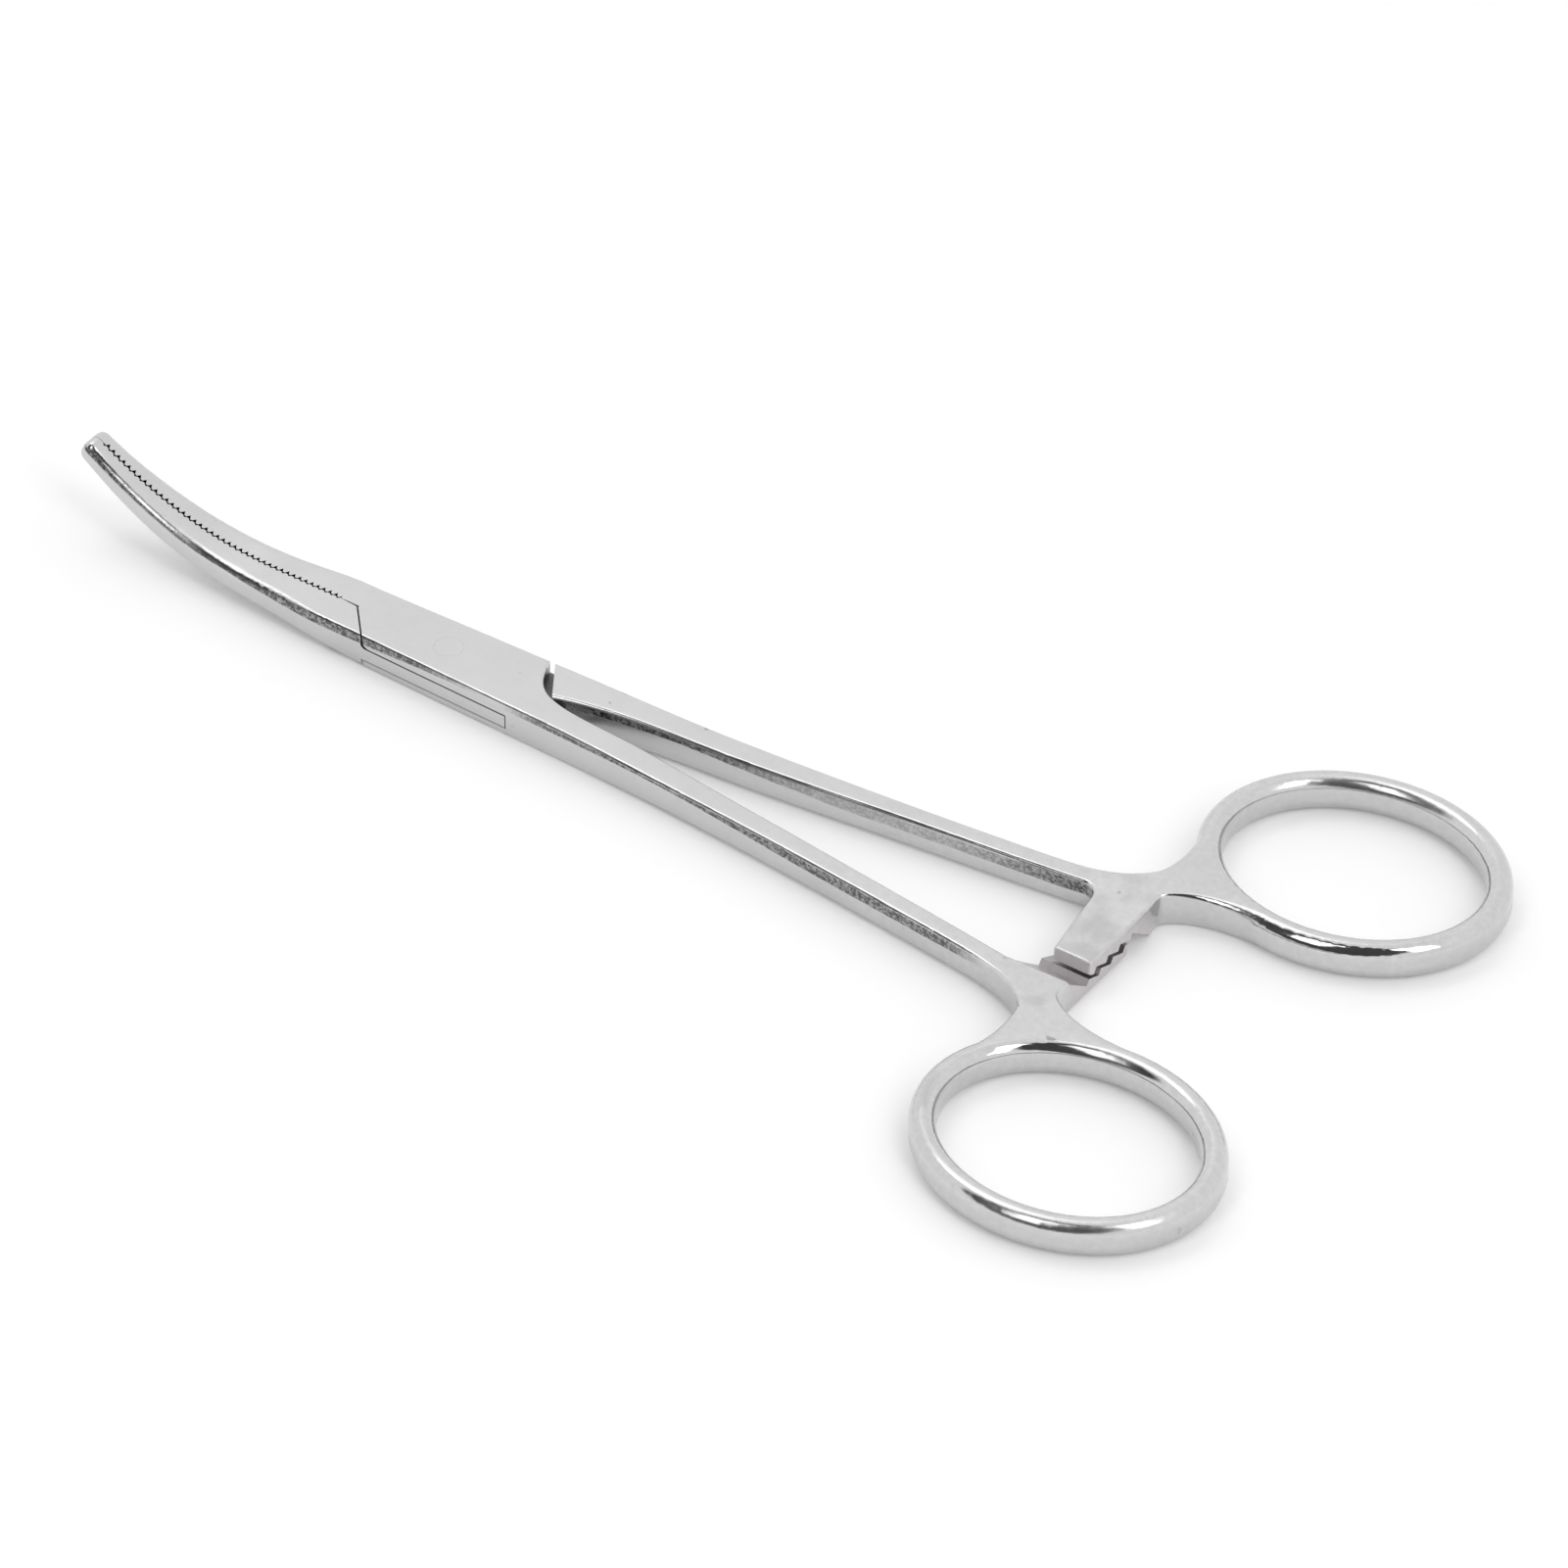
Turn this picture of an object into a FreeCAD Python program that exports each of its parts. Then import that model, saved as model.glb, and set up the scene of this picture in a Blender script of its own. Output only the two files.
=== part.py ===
import FreeCAD, Part
import math
import os
from FreeCAD import Vector

# Curved artery forceps with a box lock, closed. All sizes are in millimetres.
# X runs along the instrument, the finger rings at +X and the jaw tips at -X.
# Y runs across it, Z up. The hinge axis is the Z axis, and the flat underside lies on Z = 0.
# The box half holds the +Y jaw and the -Y ring. The insert half holds the -Y jaw and the +Y ring,
# and its thin tongue passes through the slot in the box.

# Box lock
box_thickness = 3.6
box_half_width = 3.6          # at the hinge axis
front_seam_inner = 10.6       # hinge axis to the front shoulder, at the grip line
front_seam_outer = 7.4        # and at the side of the box
back_seam_inner = 12.0        # hinge axis to the back shoulder, at its inner corner
back_seam_outer = 9.45        # and at the side of the box
back_seam_overlap = 0.36      # its inner corner lies this far past the middle line
seam_gap = 0.2                # open width of both seams
seam_round = 0.6              # where the front seam turns into the slot, seen from the side
plate_back_x = 9.9            # back edge of the box's two plates, at its middle
plate_back_y = 1.3
plate_corner = 1.7            # the back edge leans this much forward at the side of the box
tongue_thickness = 1.3
tongue_drop = 0.3             # the tongue's middle lies this far under the middle of the box
slot_gap_above = 0.15
slot_gap_below = 0.08
slot_end_radius = 10.0        # the slot ends on arcs about the hinge axis
slot_end_gap = 0.1
slot_side_gap = 0.1
pin_diameter = 2.8
pin_seat_gap = 0.01
pin_running_gap = 0.03

# Jaws
jaw_reach = 41.3              # hinge axis to the tips, along X
jaw_bend_start = 20.0         # the jaws curve upward from here
jaw_bend_angle = 34.0         # slope of the tips, in degrees
jaw_thickness = 2.5           # at the start of the bend
jaw_tip_thickness = 2.05
jaw_under_start = 4.0         # hinge axis to where the underside starts to rise toward the jaws
jaw_under_slope = 0.08        # the underside falls toward the lock at this slope
jaw_root_length = 1.8         # the jaw leaves the straight box this far ahead of the front seam
jaw_root_half_width = 3.32    # one jaw, where it leaves the box
jaw_half_width = 3.16         # one jaw, midway between the lock and the bend
jaw_middle_half_width = 2.35  # one jaw, midway along the bend
jaw_tip_half_width = 1.45
jaw_tip_slope = 0.07          # the outer sides of the jaws still draw in this much at the tips
jaw_gap = 0.04                # between the closed grip faces
jaw_root_relief = 0.15        # the near jaw stands back this much beside the lock
groove_pitch = 0.7
far_groove_depth = 0.42
near_groove_depth = 0.2
groove_width = 0.5
groove_start = 12.0           # hinge axis to the first groove

# Shanks
shank_thickness = 3.05
shank_taper_end = 30.0        # the box thins to the shanks up to here
shank_taper_outer = 4.75      # outer side where the taper ends
shank_root_x = 16.5
shank_root_outer = 4.05
shank_end_x = 60.0
shank_end_outer = 7.45        # outer side at the end of the plain shank
shank_end_inner = 5.45        # inner side there
shank_end_slope = 0.11
shank_middle_inner = 2.15     # inner side where the taper ends
shank_late_x = 45.0
shank_late_inner = 3.78
fork_x = 20.0                 # here the shanks' inner sides have parted
fork_inner = 1.3
fork_start_x = 14.0           # insert half, close behind its shoulder
fork_start_inner = 0.2
fork_root_x = 12.65           # box half, close behind its plates
fork_root_inner = 0.64
fork_root_slope = 0.3
edge_round = 0.35
outer_edge_share = 0.75       # ahead of the hinge only edges beyond this share of the half width are rounded
jaw_tip_round = 0.85

# Finger rings
ring_x = 84.2
ring_y = 22.7
ring_half_length = 13.6       # centre line of the tube
ring_half_width = 11.2
ring_tilt = 3.0               # degrees, the rings splay with the shanks
ring_tube_width = 2.4
ring_flat_width = 0.5
ring_land_height = 0.8
ring_splits = (150, 310)      # degrees round the ring, where its two lengths meet

# Neck between shank and ring
neck_before_ring = 12.3       # the middle of the neck at its narrowest, ahead of the ring's centre
neck_y = 9.6
neck_half_width = 1.78
neck_outer_angle = 199.7      # where the neck runs into the ring, in degrees round the ring
neck_inner_angle = 261.5
neck_ramp_start = -6.0        # along the neck from its narrowest point
neck_ramp_end = 0.5
neck_ring_sink = 0.2          # the sides of the neck end this deep in the ring
neck_ring_round = 0.9

# Ratchet
ratchet_before_neck = 3.3     # front side of the bar at the middle plane, ahead of the neck
ratchet_width = 4.55
ratchet_lean = 9.3            # degrees, the front side narrows the bar toward its end
ratchet_root_round = 1.6
ratchet_root_y = 6.45         # the bar is thinned from here on
ratchet_reach = 3.0           # past the middle plane
tooth_start = 3.25            # middle plane to the first crest
tooth_pitch = 1.9
tooth_height = 0.6
tooth_count = 4
tooth_face_run = 0.35         # the steep faces lean by this much
tooth_running_gap = 0.08      # between the crests of the two bars

MIDDLE = box_thickness / 2

NOSE = jaw_tip_thickness / 2
BEND = math.radians(jaw_bend_angle)
BEND_RADIUS = (jaw_reach - NOSE * math.cos(BEND) - jaw_bend_start) / math.sin(BEND)
JAW_CUT = -(front_seam_inner + jaw_root_length)
WIDE = 4 * box_half_width
NECK_X = ring_x - neck_before_ring
RATCHET_FRONT = NECK_X - ratchet_before_neck
RATCHET_BACK = RATCHET_FRONT + ratchet_width
RATCHET_SLANT = math.tan(math.radians(ratchet_lean))


def curve(points, start=None, end=None):
    """A smooth edge through the points, with its end directions where given."""
    spline = Part.BSplineCurve()
    places = [Vector(*p) for p in points]
    if start and end:
        spline.interpolate(Points=places, InitialTangent=Vector(*start), FinalTangent=Vector(*end))
    else:
        spline.interpolate(Points=places)
    return spline.toShape()


def line(a, b):
    return Part.LineSegment(Vector(*a), Vector(*b)).toShape()


def arc(a, b, c):
    return Part.Arc(Vector(*a), Vector(*b), Vector(*c)).toShape()


def face(edges):
    return Part.Face(Part.Wire(Part.__sortEdges__(edges)))


def polygon_prism(points, bottom, top):
    """A prism over a closed outline of (x, y) points."""
    outline = [Vector(x, y, bottom) for x, y in points]
    return Part.Face(Part.makePolygon(outline + outline[:1])).extrude(Vector(0, 0, top - bottom))


def outer_points():
    """Half the width over both sides of the box, from the jaw root to the ratchet."""
    return [
        (JAW_CUT, jaw_root_half_width, 0),
        (0, box_half_width, 0),
        (shank_root_x, shank_root_outer, 0),
        (shank_taper_end, shank_taper_outer, 0),
        (shank_end_x, shank_end_outer, 0),
    ]


def jaw_frame(share):
    """A point on the jaw's middle line along the bend, the bend's slope there, and its thickness."""
    slope = share * BEND
    x = -jaw_bend_start - BEND_RADIUS * math.sin(slope)
    z = box_thickness - jaw_thickness / 2 + BEND_RADIUS * (1 - math.cos(slope))
    return x, z, slope, jaw_thickness + share * (jaw_tip_thickness - jaw_thickness)


def jaw_underside():
    """The curve under the root of the jaws, from the bend back to the flat underside of the box."""
    front = (-jaw_bend_start, 0, box_thickness - jaw_thickness)
    return curve([front, (-jaw_under_start, 0, 0)], (1, 0, -jaw_under_slope), (1, 0, 0))


def side_profile(x_end):
    """Thickness of the arm seen from the side: full at the box, thin along the shank."""
    half = shank_thickness / 2
    taper = shank_taper_end
    root = back_seam_inner
    front = -jaw_bend_start
    top_taper = curve([(root, 0, box_thickness), (taper, 0, MIDDLE + half)], (1, 0, 0), (1, 0, 0))
    low_taper = curve([(root, 0, 0), (taper, 0, MIDDLE - half)], (1, 0, 0), (1, 0, 0))
    edges = [
        line((front, 0, box_thickness), (root, 0, box_thickness)),
        top_taper,
        line((taper, 0, MIDDLE + half), (x_end, 0, MIDDLE + half)),
        line((x_end, 0, MIDDLE + half), (x_end, 0, MIDDLE - half)),
        low_taper,
        line((taper, 0, MIDDLE - half), (x_end, 0, MIDDLE - half)),
        line((-jaw_under_start, 0, 0), (root, 0, 0)),
        jaw_underside(),
        line((front, 0, box_thickness), (front, 0, box_thickness - jaw_thickness)),
    ]
    outline = face(edges)
    outline.translate(Vector(0, -WIDE, 0))
    return outline.extrude(Vector(0, 2 * WIDE, 0))


def arm():
    """The box and both shanks in one, before anything is cut or rounded."""
    upper = outer_points()
    lower = [(x, -y, z) for x, y, z in upper]
    plan = face([
        curve(upper, (1, 0, 0), (1, shank_end_slope, 0)),
        curve(lower, (1, 0, 0), (1, -shank_end_slope, 0)),
        line(upper[0], lower[0]), line(upper[-1], lower[-1]),
    ])
    return plan.extrude(Vector(0, 0, box_thickness)).common(side_profile(shank_end_x + 1))


def jaw_side_profile():
    """The jaw seen from the side, with a square end that is rounded later."""
    upper = []
    lower = []
    for share in (0.0, 0.25, 0.5, 0.75, 1.0):
        x, z, slope, thickness = jaw_frame(share)
        rise = thickness / 2
        upper.append((x + rise * math.sin(slope), 0, z + rise * math.cos(slope)))
        lower.append((x - rise * math.sin(slope), 0, z - rise * math.cos(slope)))
    nose = (-NOSE * math.cos(BEND), NOSE * math.sin(BEND))
    upper_end = (upper[-1][0] + nose[0], 0, upper[-1][2] + nose[1])
    lower_end = (lower[-1][0] + nose[0], 0, lower[-1][2] + nose[1])
    heading = (-math.cos(BEND), 0, math.sin(BEND))
    outline = face([
        line((0, 0, box_thickness), upper[0]),
        curve(upper, (-1, 0, 0), heading),
        line(upper[-1], upper_end),
        line(upper_end, lower_end),
        line(lower_end, lower[-1]),
        curve(lower[::-1], (math.cos(BEND), 0, -math.sin(BEND)), (1, 0, -jaw_under_slope)),
        jaw_underside(),
        line((-jaw_under_start, 0, 0), (0, 0, 0)),
        line((0, 0, 0), (0, 0, box_thickness)),
    ])
    return outline.extrude(Vector(0, WIDE, 0))


def tapered_fillet(solid, edge, near, near_radius, far_radius):
    """Round an edge and what runs on smoothly from it, from one radius at the near end to another."""
    corner = Part.Vertex(near)
    pairs = ((near_radius, far_radius), (far_radius, near_radius))
    choices = [solid.makeFillet(first, last, [edge]) for first, last in pairs]
    return min(choices, key=lambda choice: choice.distToShape(corner)[0])


def edge_from(solid, point, away):
    """The edge that starts nearest to the point, of those that lead to the allowed side."""
    found = []
    for edge in solid.Edges:
        ends = [vertex.Point for vertex in edge.Vertexes]
        if len(ends) == 2:
            found += [
                (this.distanceToPoint(point), edge)
                for this, other in (ends, ends[::-1]) if away(other - this)
            ]
    return min(found, key=lambda entry: entry[0])[1]


def grooves(depth, shift):
    """V grooves across the +Y jaw's grip face, square to its middle line, shifted by a share of the pitch."""
    straight = jaw_bend_start - groove_start
    total = straight + BEND_RADIUS * BEND
    count = int(total / groove_pitch)
    cutters = []
    for number in range(count):
        reach = (number + 0.5 + shift) * groove_pitch
        share = max(0.0, reach - straight) / (BEND_RADIUS * BEND)
        x, z, slope, thickness = jaw_frame(share)
        if reach < straight:
            x = -groove_start - reach
        half = groove_width / 2
        vee = polygon_prism([(-half, 0), (half, 0), (0, depth + jaw_gap / 2)], -box_thickness, box_thickness)
        vee.rotate(Vector(0, 0, 0), Vector(0, 1, 0), math.degrees(slope))
        vee.translate(Vector(x, 0, z))
        cutters.append(vee)
    return Part.makeCompound(cutters)


def jaw(groove_depth, groove_shift):
    """One jaw, on the +Y side, from its root to the tip."""
    end = -jaw_reach - NOSE
    bend_middle = -jaw_bend_start - BEND_RADIUS * math.sin(BEND / 2)
    points = [
        (JAW_CUT, jaw_root_half_width, 0),
        (-(groove_start + jaw_bend_start) / 2, jaw_half_width, 0),
        (bend_middle, jaw_middle_half_width, 0),
        (end, jaw_tip_half_width, 0),
    ]
    grip = jaw_gap / 2
    plan = face([
        curve(points, (-1, 0, 0), (-1, -jaw_tip_slope, 0)),
        line((JAW_CUT, grip, 0), points[0]),
        line((JAW_CUT, grip, 0), (end, grip, 0)),
        line((end, grip, 0), points[-1]),
    ])
    solid = plan.extrude(Vector(0, 0, jaw_reach)).common(jaw_side_profile())
    root = min(solid.Faces, key=lambda side: abs(side.CenterOfMass.x - JAW_CUT))
    for height, end_round in ((root.BoundBox.ZMax, jaw_tip_round), (root.BoundBox.ZMin, edge_round)):
        corner = Vector(JAW_CUT, jaw_root_half_width, height)
        edge = edge_from(solid, corner, lambda step: step.x < -jaw_tip_round)
        solid = tapered_fillet(solid, edge, corner, edge_round, end_round)
    nose_x, nose_z = jaw_frame(1.0)[:2]
    nose = Vector(nose_x - NOSE * math.cos(BEND), grip, nose_z + NOSE * math.sin(BEND))
    flat_end = min(solid.Faces, key=lambda side: side.CenterOfMass.distanceToPoint(nose))
    rim = [
        edge for edge in flat_end.Edges
        if max(vertex.Point.y for vertex in edge.Vertexes) > grip + 0.001
    ]
    solid = solid.makeFillet(jaw_tip_round, rim)
    return solid.cut(grooves(groove_depth, groove_shift))


def ring_point(angle, offset, height=0.0):
    """A point of the +Y ring, at an angle round it and an offset outward from the tube's centre line."""
    turn = math.radians(angle)
    tilt = math.radians(ring_tilt)
    along = (ring_half_length + offset) * math.cos(turn)
    across = (ring_half_width + offset) * math.sin(turn)
    x = ring_x + along * math.cos(tilt) - across * math.sin(tilt)
    y = ring_y + along * math.sin(tilt) + across * math.cos(tilt)
    return (x, y, height)


def ring_heading(angle, offset):
    """The direction along the ring's side at an angle round it."""
    ahead = ring_point(angle + 1, offset)
    behind = ring_point(angle - 1, offset)
    return (ahead[0] - behind[0], ahead[1] - behind[1], 0)


def ring_arc(first, last, height):
    """The part of the tube's centre line between two angles."""
    ellipse = Part.Ellipse(Vector(0, 0, 0), ring_half_length, ring_half_width)
    edge = Part.ArcOfEllipse(ellipse, math.radians(first), math.radians(last)).toShape()
    edge.rotate(Vector(0, 0, 0), Vector(0, 0, 1), ring_tilt)
    edge.translate(Vector(ring_x, ring_y, height))
    return edge


def ring():
    """The +Y finger ring: a tube of flattened oval section swept round an ellipse."""
    flat = ring_flat_width / 2
    land = ring_land_height / 2
    corner_wide = ring_tube_width / 2 - flat
    corner_high = MIDDLE - land
    share = math.sqrt(0.5)
    first, second = ring_splits
    start = Vector(*ring_point(first, 0, MIDDLE))
    heading = Vector(*ring_heading(first, 0)).normalize()
    outward = Vector(heading.y, -heading.x, 0)

    def place(across, height):
        return tuple(start + outward * across + Vector(0, 0, height))

    section = []
    for side in (1, -1):
        rim = side * (flat + corner_wide)
        section.append(line(place(rim, land), place(rim, -land)))
        section.append(line(place(flat, side * MIDDLE), place(-flat, side * MIDDLE)))
        for level in (1, -1):
            top = place(side * flat, level * MIDDLE)
            turn = place(side * (flat + corner_wide * share), level * (land + corner_high * share))
            section.append(arc(top, turn, place(rim, level * land)))
    spine = Part.Wire([ring_arc(first, second, MIDDLE), ring_arc(second, first + 360, MIDDLE)])
    pipe = Part.BRepOffsetAPI.MakePipeShell(spine)
    pipe.setBiNormalMode(Vector(0, 0, 1))
    pipe.add(Part.Wire(Part.__sortEdges__(section)))
    pipe.build()
    pipe.makeSolid()
    return pipe.shape()


def neck_outline():
    """The end of the +Y shank, its ratchet bar and its neck, down to the middle of the ring's tube."""
    to_ring = Vector(ring_x - NECK_X, ring_y - neck_y, 0).normalize()
    across = Vector(-to_ring.y, to_ring.x, 0) * neck_half_width
    waist = Vector(NECK_X, neck_y, 0)
    outer_waist = tuple(waist + across)
    inner_waist = tuple(waist - across)
    sink = ring_tube_width / 2 - neck_ring_sink
    outer_end = ring_point(neck_outer_angle, sink)
    inner_end = ring_point(neck_inner_angle, sink)
    back_out = tuple(-part for part in ring_heading(neck_outer_angle, 0))
    corner_y = shank_end_inner + shank_end_slope * (RATCHET_FRONT - shank_end_x)
    corner = (RATCHET_FRONT - RATCHET_SLANT * corner_y, corner_y, 0)
    tip_front = (RATCHET_FRONT + RATCHET_SLANT * ratchet_reach, -ratchet_reach, 0)
    tip_back = (RATCHET_BACK, -ratchet_reach, 0)
    straight_end = (RATCHET_BACK, neck_y - 2 * neck_half_width, 0)
    start_outer = (shank_end_x, shank_end_outer, 0)
    start_inner = (shank_end_x, shank_end_inner, 0)
    slope = (1, shank_end_slope, 0)
    return face([
        curve([start_outer, outer_waist], slope, tuple(to_ring)),
        curve([outer_waist, outer_end], tuple(to_ring), back_out),
        line(outer_end, ring_point(neck_outer_angle, 0)),
        ring_arc(neck_outer_angle, neck_inner_angle, 0),
        line(inner_end, ring_point(neck_inner_angle, 0)),
        curve([inner_waist, inner_end], tuple(to_ring), ring_heading(neck_inner_angle, 0)),
        curve([straight_end, inner_waist], (0, 1, 0), tuple(to_ring)),
        line(tip_back, straight_end),
        line(tip_front, tip_back),
        line(corner, tip_front),
        line(start_inner, corner),
        line(start_inner, start_outer),
    ])


def ramp_profile():
    """The neck seen from the side: as thin as the shank, then rising to the thickness of the ring."""
    thin = shank_thickness / 2
    full = box_thickness / 2
    far = 2 * shank_end_x
    above = curve([(neck_ramp_start, 0, thin), (neck_ramp_end, 0, full)], (1, 0, 0), (1, 0, 0))
    below = curve([(neck_ramp_start, 0, -thin), (neck_ramp_end, 0, -full)], (1, 0, 0), (1, 0, 0))
    outline = face([
        line((-far, 0, thin), (neck_ramp_start, 0, thin)), above,
        line((neck_ramp_end, 0, full), (far, 0, full)), line((far, 0, full), (far, 0, -full)),
        line((neck_ramp_end, 0, -full), (far, 0, -full)), below,
        line((-far, 0, -thin), (neck_ramp_start, 0, -thin)), line((-far, 0, -thin), (-far, 0, thin)),
    ])
    outline.translate(Vector(0, -far, 0))
    solid = outline.extrude(Vector(0, 2 * far, 0))
    heading = math.degrees(math.atan2(ring_y - neck_y, ring_x - NECK_X))
    solid.rotate(Vector(0, 0, 0), Vector(0, 0, 1), heading)
    solid.translate(Vector(NECK_X, neck_y, MIDDLE))
    return solid


def neck():
    """The neck and the ratchet bar without its teeth, edges rounded."""
    solid = neck_outline().extrude(Vector(0, 0, box_thickness))
    bar_root = [
        edge for edge in solid.Edges
        if edge.BoundBox.ZLength > MIDDLE and edge.CenterOfMass.y > 0
        and abs(edge.CenterOfMass.x - RATCHET_FRONT) < ratchet_root_round
    ]
    solid = solid.makeFillet(ratchet_root_round, bar_root).common(ramp_profile()).Solids[0]
    across = Vector(neck_y - ring_y, ring_x - NECK_X, 0).normalize() * neck_half_width
    waist = Vector(NECK_X, neck_y, 0)
    for level in (1, -1):
        height = Vector(0, 0, MIDDLE + level * shank_thickness / 2)
        outer = waist + across + height
        edge = edge_from(solid, outer, lambda step: step.y > neck_half_width)
        solid = tapered_fillet(solid, edge, outer, edge_round, neck_ring_round)
        inner = waist - across + height
        edge = edge_from(solid, inner, lambda step: step.x > neck_half_width)
        solid = tapered_fillet(solid, edge, inner, edge_round, neck_ring_round)
        start = Vector(shank_end_x, shank_end_inner, 0) + height
        end = Vector(RATCHET_FRONT, -ratchet_reach, 0) + height
        inside = edge_from(solid, start, lambda step: step.x > ratchet_root_round)
        tip = edge_from(solid, end, lambda step: step.x > ratchet_root_round)
        solid = solid.makeFillet(edge_round, [inside, tip])
    return solid


def teeth_cutter():
    """What is cut from under the +Y bar: a stepped slope down to the teeth and the gaps between them."""
    crest_z = MIDDLE + tooth_running_gap / 2
    root_z = crest_z + tooth_height
    below = -box_thickness
    points = [(ratchet_root_y, below), (ratchet_root_y, MIDDLE - shank_thickness / 2)]
    for number in range(tooth_count):
        crest_y = tooth_start - number * tooth_pitch
        points += [(crest_y + tooth_face_run, root_z), (crest_y, crest_z)]
    past = tooth_start - tooth_count * tooth_pitch
    points += [(past, root_z), (past, below)]
    start = RATCHET_FRONT - RATCHET_SLANT * ratchet_root_y
    outline = [Vector(start, y, z) for y, z in points]
    return Part.Face(Part.makePolygon(outline + outline[:1])).extrude(Vector(2 * ratchet_width, 0, 0))


def handle():
    """The +Y neck, ratchet bar and finger ring in one."""
    return neck().cut(teeth_cutter()).fuse(ring()).removeSplitter()


def along(inner, outer, y):
    """The point at the given y on the straight line through two (x, y) points."""
    share = (y - inner[1]) / (outer[1] - inner[1])
    return inner[0] + share * (outer[0] - inner[0]), y


def fork(root):
    """The inner edge of the +Y shank, from its root points to its end."""
    points = root + [
        (fork_x, fork_inner),
        (shank_taper_end, shank_middle_inner),
        (shank_late_x, shank_late_inner),
        (shank_end_x, shank_end_inner),
    ]
    return [(x, y, 0) for x, y in points]


def outline(points):
    """Straight edges through open (x, y) points."""
    flat = [(x, y, 0) for x, y in points]
    return [line(a, b) for a, b in zip(flat, flat[1:])]


def cut_out(edges):
    """The part of the arm inside a plan outline, its long curved edges rounded."""
    solid = arm().common(face(edges).extrude(Vector(0, 0, box_thickness))).Solids[0]
    side = outer_edge_share * box_half_width
    curved = [
        edge for edge in solid.Edges
        if isinstance(edge.Curve, Part.BSplineCurve) and edge.BoundBox.XLength > edge_round
        and (edge.CenterOfMass.x > 0 or abs(edge.CenterOfMass.y) > side)
    ]
    return solid.makeFillet(edge_round, curved)


def half_turn(shape):
    """The same shape on the other side, turned over about the long axis."""
    turned = shape.copy()
    turned.rotate(Vector(0, 0, MIDDLE), Vector(1, 0, 0), 180)
    return turned


def mirrored(shape):
    return shape.mirror(Vector(0, 0, 0), Vector(0, 1, 0))


TONGUE_TOP = MIDDLE - tongue_drop + tongue_thickness / 2
TONGUE_BOTTOM = TONGUE_TOP - tongue_thickness
FRONT_SEAM = ((-front_seam_inner, 0), (-front_seam_outer, -box_half_width))
BACK_SEAM = ((back_seam_inner, -back_seam_overlap), (back_seam_outer, box_half_width))


def seam_strip(radius, shift, start_y, height):
    """The sharp corner that a round leaves between the front seam and the slot, on the near side."""
    (inner_x, inner_y), (outer_x, outer_y) = FRONT_SEAM
    share = radius * (1 - math.sqrt(0.5))
    strip = face([
        line((0, 0, 0), (radius, 0, 0)),
        arc((radius, 0, 0), (share, 0, share), (0, 0, radius)),
        line((0, 0, radius), (0, 0, 0)),
    ]).extrude(Vector(0, -WIDE, 0))
    strip.rotate(Vector(0, 0, 0), Vector(0, 0, 1), math.degrees(math.atan2(outer_x - inner_x, inner_y - outer_y)))
    strip.translate(Vector(*along(*FRONT_SEAM, start_y), height) + Vector(shift, 0, 0))
    return strip


def slot():
    """The opening through the box for the tongue, with room to swing."""
    bottom = TONGUE_BOTTOM - slot_gap_below
    height = TONGUE_TOP + slot_gap_above - bottom
    swing = Part.makeCylinder(slot_end_radius, height, Vector(0, 0, bottom))
    start = Vector(0, -slot_side_gap / 2, bottom)
    back = Part.makeBox(back_seam_inner, WIDE, height, start)
    front = Part.makeBox(front_seam_inner, WIDE, height, -start + Vector(-front_seam_inner, -WIDE, 2 * bottom))
    return swing.fuse([back, front, seam_strip(seam_round, seam_gap, 0, bottom + height)])


def tongue():
    """The insert half's tongue, as wide as the box, between its two shoulders."""
    swing = Part.makeCylinder(slot_end_radius - slot_end_gap, tongue_thickness, Vector(0, 0, TONGUE_BOTTOM))
    front = [
        (0, -slot_side_gap), (-front_seam_inner, -slot_side_gap),
        along(*FRONT_SEAM, -WIDE), (0, -WIDE), (0, -slot_side_gap),
    ]
    back = [
        (0, slot_side_gap), along(*BACK_SEAM, slot_side_gap),
        along(*BACK_SEAM, WIDE), (0, WIDE), (0, slot_side_gap),
    ]
    sides = [polygon_prism(points[:-1], TONGUE_BOTTOM, TONGUE_TOP) for points in (front, back)]
    corner = seam_strip(seam_round - seam_gap, 0, -seam_round, TONGUE_TOP)
    return arm().common(swing.fuse(sides + [corner]))


def box_half():
    """Far jaw, box, near shank and near ring, forged in one."""
    grip = jaw_gap / 2
    shank = [(x, -y, 0) for x, y, z in fork([(fork_root_x, fork_root_inner)])]
    plate_back = [
        (plate_back_x - plate_corner, box_half_width + plate_corner / 2, 0),
        (plate_back_x, plate_back_y, 0),
        shank[0],
    ]
    front = along(*FRONT_SEAM, -jaw_root_relief)
    side = along(*FRONT_SEAM, -WIDE)
    plan = outline([
        shank[-1][:2], (shank_end_x, -WIDE), (side[0] + seam_gap, side[1]),
        (front[0] + seam_gap, front[1]), (front[0] + seam_gap, grip), (JAW_CUT, grip), (JAW_CUT, WIDE),
        (plate_back[0][0], WIDE), plate_back[0][:2],
    ])
    heading = (1, -fork_root_slope, 0)
    plan.append(curve(plate_back, (1, -1, 0), heading))
    plan.append(curve(shank, heading, (1, -shank_end_slope, 0)))
    solid = cut_out(plan).cut(slot())
    solid = solid.fuse([jaw(far_groove_depth, 0.0), half_turn(handle())]).removeSplitter()
    return solid.cut(Part.makeCylinder(pin_diameter / 2 + pin_seat_gap, box_thickness))


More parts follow.
